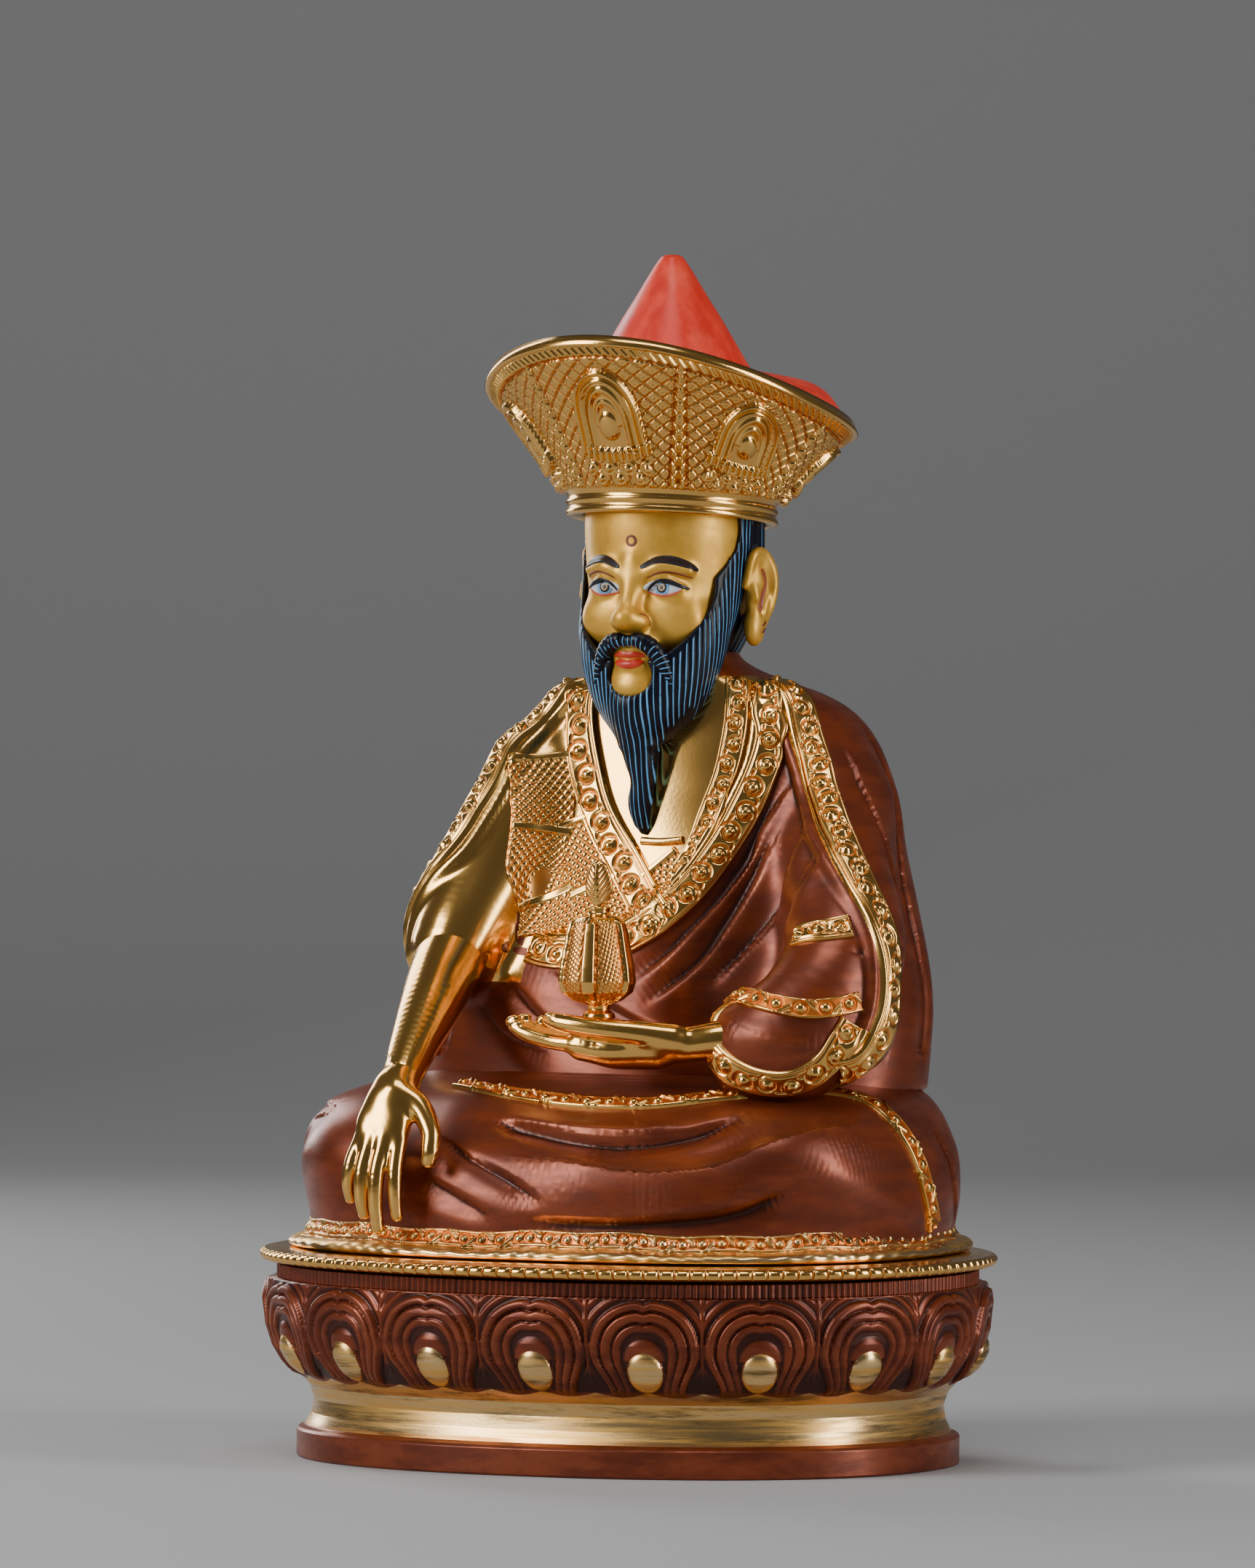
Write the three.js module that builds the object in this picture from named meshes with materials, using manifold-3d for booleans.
// A seated teacher statue on a lotus throne, cast in copper as separate pieces that are pinned together.
// Millimetres, +Z up, origin at the middle of the base's underside. The figure faces -Y; its left is +X.
import * as THREE from "three";
import { mergeVertices } from "three/addons/utils/BufferGeometryUtils.js";
import Module from "manifold-3d";

const wasm = await Module();
wasm.setup();

// ---- Driving dimensions -------------------------------------------------------------------------------

const GAP = 0.3; // left between two castings that touch
const WALL = 3.2; // thickness of the hollow castings
const SIDES = 44; // points round an oval of the throne or the robes
const OVAL = 2.2; // power of the throne's oval: 2 is an ellipse, more is squarer

const FOOT = { a: 64, b: 48, top: 5.6 };
const WAIST = { a: 61.6, b: 46, z: 11 };
const PETALS = { a: 70.6, b: 53.6, bottom: 16.2, top: 33.3 };
const STAMEN = { a: 68.2, b: 51.4, top: 36.4 };
const DECK = { a: 71, b: 54, bottom: STAMEN.top + GAP, top: 39.6 };
const DECK_HOLE = { a: 46, b: 30 }; // the deck is open under the hollow figure
const SEAL = { inset: 3.6, ledge: 3, bottom: 0.8, thick: 1.2 };
const HEM = { a: 64.5, b: 48, y: 1.5, bottom: DECK.top + GAP, top: 41.8 };
const LAP_TOP = 71.7;
const HEAD = { y: 18.4, r: 16.2, top: 183 };
const NECK = { y: HEAD.y + 1, r: 7.2, z: 147.6, top: 157 };
const HAT = { y: HEAD.y, band: 19.2, bandTop: 178, bandTilt: 2.2, rim: 35.4, wall: 2 };
const RIM = { z: 199, tilt: 9.7, peak: 2 }; // the brim's edge: mean height, rise to the front, wave
const CONE = { base: 17.2, foot: 199, tip: 1.6, top: 225.5 };
const ELBOW = [-33.5, -3, 95.5];
const WRIST = [-28.6, -37, 73.3];
const CUFF = [31, -17.5, 80]; // where the left hand leaves its sleeve
const VASE = { x: 5, y: -21.5, foot: 83.4, top: 104.4 };
const STUD = { r: 0.84, bottom: 80, top: VASE.foot + 3 }; // holds the vase on the palm
const PIN = 1.2; // radius of the copper pins that join the castings

// ---- Shape helpers ------------------------------------------------------------------------------------

// Points of an oval, anticlockwise seen from above.
function oval(a, b, z, { x = 0, y = 0, power = OVAL, sides = SIDES } = {}) {
  const height = typeof z === "function" ? z : () => z;
  return Array.from({ length: sides }, (_, i) => {
    const t = (2 * Math.PI * i) / sides;
    const round = (v) => Math.sign(v) * Math.abs(v) ** (2 / power);
    return new THREE.Vector3(x + a * round(Math.cos(t)), y + b * round(Math.sin(t)), height(t));
  });
}

// A closed skin over rings of equal length. Each ring turns anticlockwise about the way the list goes.
function loft(rings) {
  const n = rings[0].length;
  const points = rings.flat();
  const triangles = [];
  for (let r = 0; r + 1 < rings.length; r++)
    for (let i = 0; i < n; i++) {
      const a = r * n + i;
      const b = r * n + ((i + 1) % n);
      triangles.push(a, b, b + n, a, b + n, a + n);
    }
  const cap = (ring, first, flip) => {
    const middle = ring.reduce((s, p) => s.add(p), new THREE.Vector3()).divideScalar(n);
    const centre = points.push(middle) - 1;
    for (let i = 0; i < n; i++) {
      const pair = [first + i, first + ((i + 1) % n)];
      triangles.push(centre, ...(flip ? pair.reverse() : pair));
    }
  };
  cap(rings[0], 0, true);
  cap(rings.at(-1), (rings.length - 1) * n, false);
  return new THREE.BufferGeometry().setFromPoints(points).setIndex(triangles);
}

// A closed band whose cross-section changes round it: lists of points, joined section to section.
function band(sections) {
  const n = sections[0].length;
  const triangles = [];
  sections.forEach((_, s) => {
    const next = ((s + 1) % sections.length) * n;
    for (let i = 0; i < n; i++) {
      const j = (i + 1) % n;
      triangles.push(s * n + i, next + i, next + j, s * n + i, next + j, s * n + j);
    }
  });
  return new THREE.BufferGeometry().setFromPoints(sections.flat()).setIndex(triangles);
}

// A round limb through points, each given as [x, y, z, radius], with its sections square to its way.
function limb(stations, { sides = 14 } = {}) {
  const centres = stations.map(([x, y, z]) => new THREE.Vector3(x, y, z));
  const path = new THREE.CatmullRomCurve3(centres, false, "centripetal");
  const across = new THREE.Vector3(1, 0, 0);
  const rings = stations.map(([, , , r], s) => {
    const along = path.getTangent(s / (stations.length - 1));
    const side = across.clone().addScaledVector(along, -across.dot(along));
    if (side.length() < 0.3) side.set(0, 1, 0).addScaledVector(along, -along.y);
    side.normalize();
    const up = along.clone().cross(side);
    return Array.from({ length: sides }, (_, i) => {
      const t = (2 * Math.PI * i) / sides;
      return centres[s]
        .clone()
        .addScaledVector(side, r * Math.cos(t))
        .addScaledVector(up, r * Math.sin(t));
    });
  });
  return loft(rings);
}

function ellipsoid(x, y, z, rx, ry, rz, detail = 14) {
  return new THREE.SphereGeometry(1, detail, Math.round(detail * 0.7)).scale(rx, ry, rz).translate(x, y, z);
}

// A pin from one point to another.
function rod(from, to, r = PIN, sides = 12) {
  const start = new THREE.Vector3(...from);
  const way = new THREE.Vector3(...to).sub(start);
  const turn = new THREE.Quaternion().setFromUnitVectors(new THREE.Vector3(0, 1, 0), way.clone().normalize());
  return new THREE.CylinderGeometry(r, r, way.length(), sides)
    .applyQuaternion(turn)
    .translate(...start.addScaledVector(way, 0.5).toArray());
}

function solid(geometry) {
  const bare = geometry.clone().deleteAttribute("normal").deleteAttribute("uv");
  const merged = mergeVertices(bare, 1e-4);
  const mesh = new wasm.Mesh({
    numProp: 3,
    vertProperties: merged.attributes.position.array,
    triVerts: new Uint32Array(merged.index.array),
  });
  return new wasm.Manifold(mesh);
}

const join = (...geometries) => geometries.map(solid).reduce((a, b) => a.add(b));
const cut = (whole, ...tools) => tools.map(solid).reduce((a, b) => a.subtract(b), whole);

function geometryOf(made) {
  const { vertProperties, triVerts } = made.getMesh();
  return new THREE.BufferGeometry()
    .setAttribute("position", new THREE.BufferAttribute(vertProperties, 3))
    .setIndex(new THREE.BufferAttribute(triVerts, 1));
}

// ---- Materials ----------------------------------------------------------------------------------------

function metal(color, metalness, roughness) {
  return new THREE.MeshStandardMaterial({ color, metalness, roughness });
}
const COPPER = metal(0x5a2114, 0.6, 0.4);
const GILT = metal(0xd9a441, 1, 0.25);
const PAINTED_GOLD = metal(0xd8a63a, 0.3, 0.45);
const RED = metal(0xc2241a, 0, 0.45);
const RAW = metal(0xa65a3a, 1, 0.4);

const statue = new THREE.Group();
function add(name, shape, material) {
  const geometry = shape.isBufferGeometry ? shape : geometryOf(shape);
  const mesh = new THREE.Mesh(geometry, material);
  mesh.name = name;
  statue.add(mesh);
}

// ---- The throne ---------------------------------------------------------------------------------------

function lotusBase() {
  const profile = [
    [0, FOOT.a, FOOT.b],
    [FOOT.top, FOOT.a, FOOT.b],
    [FOOT.top + 1.2, WAIST.a + 1.2, WAIST.b + 1.2],
    [WAIST.z, WAIST.a, WAIST.b],
    [PETALS.bottom, WAIST.a + 1.8, WAIST.b + 1.8],
    [PETALS.bottom + 4, PETALS.a - 3.4, PETALS.b - 3.4],
    [PETALS.bottom + 9, PETALS.a - 0.6, PETALS.b - 0.6],
    [PETALS.top - 2.5, PETALS.a, PETALS.b],
    [PETALS.top, PETALS.a - 1.6, PETALS.b - 1.6],
    [PETALS.top + 0.4, STAMEN.a, STAMEN.b],
    [STAMEN.top, STAMEN.a, STAMEN.b],
  ];
  const outside = loft(profile.map(([z, a, b]) => oval(a, b, z)));
  const inner = FOOT.a - SEAL.inset - SEAL.ledge;
  const innerB = FOOT.b - SEAL.inset - SEAL.ledge;
  const hollow = loft([
    oval(inner, innerB, -1),
    oval(inner, innerB, PETALS.bottom + 4),
    oval(PETALS.a - WALL * 1.4, PETALS.b - WALL * 1.4, PETALS.bottom + 10),
    oval(STAMEN.a - WALL, STAMEN.b - WALL, STAMEN.top + 1),
  ]);
  const rebate = loft([
    oval(FOOT.a - SEAL.inset, FOOT.b - SEAL.inset, -1),
    oval(FOOT.a - SEAL.inset, FOOT.b - SEAL.inset, SEAL.bottom + SEAL.thick + GAP),
  ]);
  return cut(solid(outside), hollow, rebate);
}

function sealPlate() {
  const a = FOOT.a - SEAL.inset - GAP;
  const b = FOOT.b - SEAL.inset - GAP;
  return loft([oval(a, b, SEAL.bottom), oval(a, b, SEAL.bottom + SEAL.thick)]);
}

// Places of the four rivets that hold the figure on the deck.
const SEAT_PINS = {
  seat_pin_front_right: [-36, -32],
  seat_pin_front_left: [36, -32],
  seat_pin_back_right: [-36, 35],
  seat_pin_back_left: [36, 35],
};

function seatDeck() {
  const plate = loft([
    oval(DECK.a - 1, DECK.b - 1, DECK.bottom),
    oval(DECK.a, DECK.b, DECK.bottom + 1),
    oval(DECK.a, DECK.b, DECK.top - 0.9),
    oval(DECK.a - 0.9, DECK.b - 0.9, DECK.top),
  ]);
  const holes = Object.values(SEAT_PINS).map(([x, y]) =>
    rod([x, y, DECK.bottom - 1], [x, y, DECK.top + 1], PIN + GAP),
  );
  const opening = loft([DECK.bottom - 1, DECK.top + 1].map((z) => oval(DECK_HOLE.a, DECK_HOLE.b, z)));
  return cut(solid(plate), opening, ...holes);
}

const seatPin = (x, y) =>
  join(
    rod([x, y, DECK.bottom - 1.4], [x, y, HEM.bottom + 5]),
    rod([x, y, DECK.bottom - 2.2], [x, y, DECK.bottom - GAP], PIN * 2),
  );

// ---- The figure ---------------------------------------------------------------------------------------

// Crossed legs under the robe, with the robe's hem spread on the seat.
function lapCasting() {
  const robe = [
    [HEM.bottom, HEM.a, HEM.b, HEM.y],
    [HEM.top, HEM.a, HEM.b, HEM.y],
    [HEM.top + 1.6, 62.4, 45.4, 2],
    [50, 62, 44, 2.3],
    [57, 62, 42.5, 3],
    [63, 61, 40, 5],
    [67, 57, 37.5, 8],
    [70, 52, 35, 10.5],
    [LAP_TOP, 46, 31.5, 13.5],
  ];
  const section = ([z, a, b, y]) => oval(a, b, z, { y, power: 2.5 });
  const shell = robe.map(section);
  const inside = [
    [HEM.bottom - 1, 58, 40, 2.5],
    [60, 57, 37, 4],
    [67.5, 41, 28, 13],
  ].map(section);
  const bottomless = cut(solid(loft(shell)), loft(inside));
  const holes = Object.values(SEAT_PINS).map(([x, y]) =>
    rod([x, y, HEM.bottom - 1], [x, y, HEM.bottom + 5 + GAP], PIN + GAP),
  );
  const lugs = Object.values(SEAT_PINS).map(([x, y]) =>
    rod([x, y, HEM.bottom], [x, y, HEM.bottom + 8], PIN * 3.4),
  );
  const waistHoles = WAIST_PINS.map(([x, y]) =>
    rod([x, y, WAIST_PIN.bottom - GAP], [x, y, LAP_TOP + 1], PIN + GAP),
  );
  return cut(bottomless.add(join(...lugs)), ...holes, ...waistHoles);
}

const WAIST_PIN = { bottom: 66.5, top: 78 };
const WAIST_PINS = [
  [-45.5, 19],
  [45.5, 19],
];

// Torso, cloak and sleeves: ovals from the waist to the collar, each [z, half width, half depth, y].
function torsoCasting() {
  const cloak = [
    [LAP_TOP + GAP, 50, 27.5, 20],
    [82, 51.5, 27, 21],
    [92, 50, 26, 22.5],
    [103, 46.5, 23, 25.5],
    [114, 43, 20.5, 27.5],
    [126, 39.8, 19.5, 28],
    [136, 36, 18.5, 28],
    [142, 29.5, 16.5, 27],
    [NECK.z - 1.6, 19, 13.5, 24],
    [NECK.z, 13, 11, NECK.y + 1],
  ];
  const skin = loft(cloak.map(([z, a, b, y]) => oval(a, b, z, { y, power: 2.1 })));
  const rightSleeve = limb([
    [-29, 14, 122, 8],
    [-32, 6, 108, 8.6],
    [ELBOW[0], ELBOW[1] + 2, ELBOW[2] + 1, 7.4],
  ]);
  const leftSleeve = limb([
    [36, 8, 104, 9],
    [45, -2, 92, 9.5],
    [42, -11, 83.5, 9.6],
    [...CUFF, 7.2],
  ]);
  const hollow = loft(
    [
      [LAP_TOP - 1, 42, 23, 20.5],
      [100, 42, 20, 25],
      [126, 33, 14.5, 28.5],
      [NECK.z - 7.6, 12, 9, NECK.y],
    ].map(([z, a, b, y]) => oval(a, b, z, { y, power: 2.1, sides: 32 })),
  );
  const neckBore = rod([0, NECK.y, NECK.z - 12], [0, NECK.y, NECK.z + 1], NECK.r + GAP, 28);
  const floor = new THREE.BoxGeometry(200, 200, 20).translate(0, 0, LAP_TOP + GAP - 10);
  const waistHoles = WAIST_PINS.map(([x, y]) =>
    rod([x, y, LAP_TOP - 1], [x, y, WAIST_PIN.top + GAP], PIN + GAP),
  );
  const body = cut(join(skin, rightSleeve, leftSleeve), hollow, neckBore);
  return cut(
    body,
    floor,
    loft(beardRings(GAP)),
    ...waistHoles,
    socket(ELBOW, WRIST, -5, 24, 6.2 + GAP),
    rod(ARM_PIN[0], ARM_PIN[1], PIN + GAP),
    socket(CUFF, [20, -20.5, 79], -6, 20, 4.4 + GAP),
    rod(HAND_PIN[0], HAND_PIN[1], PIN + GAP),
  );
}

// A straight round recess on the line from one point to another, from and to given along that line.
function socket(from, to, start, end, r) {
  const a = new THREE.Vector3(...from);
  const way = new THREE.Vector3(...to).sub(a).normalize();
  const at = (d) => a.clone().addScaledVector(way, d).toArray();
  return rod(at(start - GAP), at(end), r, 24);
}

const ARM_PIN = [
  [ELBOW[0] + 9, ELBOW[1] + 2, ELBOW[2]],
  [ELBOW[0], ELBOW[1] + 1, ELBOW[2] - 0.5],
];
const HAND_PIN = [
  [38, -14.4, 80.6],
  [31, -17.2, 80.1],
];

// Fingers as limbs: each row is the knuckle and the tip, with a bend between them.
function finger(knuckle, tip, r, lift) {
  const at = (t, up = 0) => knuckle.map((v, i) => v + (tip[i] - v) * t + lift[i] * up);
  return limb(
    [
      [...at(0), r],
      [...at(0.45, 1), r * 0.98],
      [...at(0.8, 0.7), r * 0.85],
      [...at(1), r * 0.5],
    ],
    { sides: 8 },
  );
}

function rightForearm() {
  const arm = limb([
    [ELBOW[0], ELBOW[1], ELBOW[2], 6.2],
    [ELBOW[0] + 0.6, -9, 91.5, 6.1],
    [-31.6, -19, 85, 5.4],
    [-30, -28, 79, 4.3],
    [...WRIST, 3.6],
    [-28.8, -40.5, 68, 4.4],
    [-29, -43.6, 61, 5],
    [-29, -44.6, 57, 4.4],
  ]);
  const forward = [0, -0.5, 0];
  const fingers = [
    finger([-33.2, -44.4, 60], [-34.2, -46, 49.5], 1.35, forward),
    finger([-30.6, -45, 60], [-31, -47, 46], 1.45, forward),
    finger([-27.8, -45, 60], [-28, -47.6, 43.6], 1.45, forward),
    finger([-25.2, -44.6, 60], [-24.8, -47, 46], 1.4, forward),
    finger([-25.4, -42.6, 66.6], [-18.6, -45.6, 57], 1.7, [2.4, -0.4, 0.6]),
  ];
  return cut(join(arm, ...fingers), rod(ARM_PIN[0], ARM_PIN[1], PIN + GAP));
}

function leftHand() {
  const palm = limb([
    [31.2, -17.5, 80, 4.2],
    [24.5, -19.4, 79.2, 3.7],
    [17.5, -21, 78.8, 4.6],
    [9.5, -22.2, 78.8, 5.4],
    [4, -22.8, 79, 4.8],
  ]);
  const up = [0, 0, -0.7];
  const fingers = [
    finger([5.6, -26.4, 79.2], [-10.8, -26.2, 82.2], 1.45, up),
    finger([4.6, -24, 79], [-11.6, -23.6, 82.6], 1.45, up),
    finger([4.2, -21.4, 79], [-10.8, -21, 82.8], 1.4, up),
    finger([4.6, -19, 79.2], [-8.6, -18.8, 82.4], 1.3, up),
  ];
  const thumb = finger([18, -25, 81], [-0.8, -27.4, 84.2], 1.8, [0, -0.4, 0.8]);
  const seat = rod([VASE.x, VASE.y, VASE.foot - GAP], [VASE.x, VASE.y, VASE.foot + 6], 3.4 + GAP, 20);
  const studHole = rod([VASE.x, VASE.y, 78], [VASE.x, VASE.y, VASE.foot + 1], PIN + GAP);
  return cut(join(palm, ...fingers, thumb), seat, studHole, rod(HAND_PIN[0], HAND_PIN[1], PIN + GAP));
}

function vase() {
  const profile = [
    [0, VASE.foot],
    [3.2, VASE.foot],
    [2.4, VASE.foot + 2.2],
    [5, VASE.foot + 4.2],
    [7.2, VASE.foot + 6.8],
    [6.6, VASE.foot + 12],
    [5.2, VASE.foot + 18],
    [3.4, VASE.foot + 20.4],
    [1.9, VASE.top],
    [0, VASE.top],
  ];
  const turned = new THREE.LatheGeometry(
    profile.map(([r, z]) => new THREE.Vector2(r, z)),
    20,
  ).rotateX(Math.PI / 2);
  const placed = turned.translate(VASE.x, VASE.y, 0);
  const leafHole = rod([VASE.x, VASE.y, VASE.top - 2], [VASE.x, VASE.y, VASE.top + 1], 0.9 + GAP);
  const studHole = rod([VASE.x, VASE.y, VASE.foot - 1], [VASE.x, VASE.y, STUD.top + GAP], STUD.r + GAP);
  return cut(solid(placed), leafHole, studHole);
}

function vaseLeaf() {
  const blade = ellipsoid(VASE.x, VASE.y, VASE.top + 4.9, 2.8, 1.2, 4);
  const stem = rod([VASE.x, VASE.y, VASE.top - 1.6], [VASE.x, VASE.y, VASE.top + 3], 0.9);
  return join(blade, stem);
}

const vaseStud = () => rod([VASE.x, VASE.y, STUD.bottom], [VASE.x, VASE.y, STUD.top], STUD.r);

// The long beard, from its point on the chest up to the cheeks, made larger all round by grow.
const beardRings = (grow = 0) =>
  [
    [117, 1.5, 1.4, 6],
    [124, 2.4, 2.2, 6],
    [131, 3.8, 3.2, 5.4],
    [138, 8.4, 5, 4.8],
    [145, 12, 6.6, 5.4],
    [152, 14.2, 8, 8],
    [160, 14.6, 8, 10.4],
  ].map(([z, a, b, y], i) => oval(a + grow, b + grow, z - (i ? 0 : grow), { y, power: 2.05, sides: 28 }));

// Head with its ears, hair and long beard.
function head() {
  const skull = [
    [148.2, 9.6, 10.4, 0],
    [152, 11.6, 13.2, -0.4],
    [158, 13.8, 15.4, -0.6],
    [165, 15.2, 16.4, -0.4],
    [172, 15.9, 16.8, 0],
    [178, 16.1, 16.8, 0],
    [HEAD.top, 15, 15.6, 0],
  ].map(([z, a, b, y]) => oval(a, b, z, { y: HEAD.y + y, power: 2.05, sides: 32 }));
  const ears = [-1, 1].map((side) => ellipsoid(side * 15.8, HEAD.y + 1, 163, 1.9, 3.6, 7.4));
  const bore = rod([0, NECK.y, 140], [0, NECK.y, NECK.top + GAP], NECK.r + GAP, 28);
  const hollow = ellipsoid(0, HEAD.y + 0.4, 166, 12, 12.6, 13, 24);
  const nose = ellipsoid(0, HEAD.y - 16.6, 166, 2.1, 2.6, 4.2);
  return cut(join(loft(skull), loft(beardRings()), nose, ...ears), bore, hollow, rivetHole());
}

const neckSleeve = () =>
  cut(
    solid(rod([0, NECK.y, NECK.z - 11], [0, NECK.y, NECK.top], NECK.r, 28)),
    rod([0, NECK.y, NECK.z - 12], [0, NECK.y, NECK.top + 1], NECK.r - 1.6, 28),
  );

// ---- The hat ------------------------------------------------------------------------------------------

// Heights round the hat: t is the angle from +X, and the brim is highest at the front, at -Y.
const bandZ = (t) => HAT.bandTop - HAT.bandTilt * Math.sin(t);
const rimZ = (t) => RIM.z - RIM.tilt * Math.sin(t) - RIM.peak * Math.cos(2 * t);

function hatBrim() {
  const steps = 44;
  const sections = Array.from({ length: steps }, (_, i) => {
    const t = (2 * Math.PI * i) / steps;
    const at = (r, z) => new THREE.Vector3(r * Math.cos(t), HAT.y + r * Math.sin(t), z);
    return [
      at(HAT.band - HAT.wall, bandZ(t) - 1.8),
      at(HAT.band, bandZ(t) - 1.8),
      at(HAT.band, bandZ(t) + 1),
      at(HAT.rim, rimZ(t) - 1.2),
      at(HAT.rim - 0.4, rimZ(t)),
      at(HAT.rim - HAT.wall, rimZ(t)),
      at(HAT.band - HAT.wall, bandZ(t) + 2.2),
    ];
  });
  return cut(solid(band(sections)), rivetHole());
}

// Height of the brim's inner wall at radius r.
function wallZ(r, t) {
  const foot = bandZ(t) + 2.2;
  const share = (r - (HAT.band - HAT.wall)) / (HAT.rim - HAT.band);
  return foot + share * (rimZ(t) - foot);
}

// The red crown: a dish that fills the brim, with a cone in its middle.
function hatCrown() {
  const ring = (r, z) => oval(r, r, z, { y: HAT.y, power: 2, sides: 44 });
  const edge = HAT.rim - HAT.wall - 2.4;
  const shape = loft([
    ring(HAT.band - HAT.wall, (t) => wallZ(HAT.band - HAT.wall, t) + 0.5),
    ring(edge, (t) => wallZ(edge, t) + 0.5),
    ring(edge - 0.2, (t) => rimZ(t) - 1.6),
    ring(CONE.base + 4, (t) => 0.4 * rimZ(t) + 0.6 * CONE.foot - 1),
    ring(CONE.base, CONE.foot),
    ring(CONE.base * 0.5, (CONE.foot + CONE.top) / 2 + 0.6),
    ring(CONE.tip + 1.2, CONE.top - 2.6),
    ring(CONE.tip, CONE.top),
  ]);
  const round = (r, z) => oval(r, r, z, { y: HAT.y, power: 2, sides: 32 });
  const room = loft([
    round(HEAD.r + 0.8, HEAD.top - 30),
    round(HEAD.r + 0.8, HEAD.top + 1),
    round(CONE.base - WALL, CONE.foot),
    round(CONE.base * 0.5 - WALL, (CONE.foot + CONE.top) / 2 - 1),
  ]);
  return cut(solid(shape), room);
}

// The rivet goes in from behind, through the hat's band and into the head.
const RIVET = [
  [0, HAT.y + HAT.band - 0.2, 175.4],
  [0, HAT.y + HAT.band - 6.2, 175.4],
];
const hatRivet = () => rod(...RIVET);
const rivetHole = () => socket(RIVET[0], RIVET[1], -1, 8, PIN + GAP);

// ---- Assembly -----------------------------------------------------------------------------------------

add("lotus_base", lotusBase(), COPPER);
add("seal_plate", sealPlate(), RAW);
add("seat_deck", seatDeck(), GILT);
for (const [name, [x, y]] of Object.entries(SEAT_PINS)) add(name, seatPin(x, y), RAW);
add("lap_casting", lapCasting(), COPPER);
WAIST_PINS.forEach(([x, y], i) => {
  add(`waist_pin_${["right", "left"][i]}`, rod([x, y, WAIST_PIN.bottom], [x, y, WAIST_PIN.top]), RAW);
});
add("torso_casting", torsoCasting(), COPPER);
add("right_forearm", rightForearm(), GILT);
add("right_arm_pin", rod(...ARM_PIN), RAW);
add("left_hand", leftHand(), GILT);
add("left_hand_pin", rod(...HAND_PIN), RAW);
add("vase", vase(), GILT);
add("vase_stud", vaseStud(), RAW);
add("vase_leaf", vaseLeaf(), GILT);
add("neck_sleeve", neckSleeve(), RAW);
add("head", head(), PAINTED_GOLD);
add("hat_brim", hatBrim(), GILT);
add("hat_crown", hatCrown(), RED);
add("hat_rivet", hatRivet(), RAW);

export default statue;
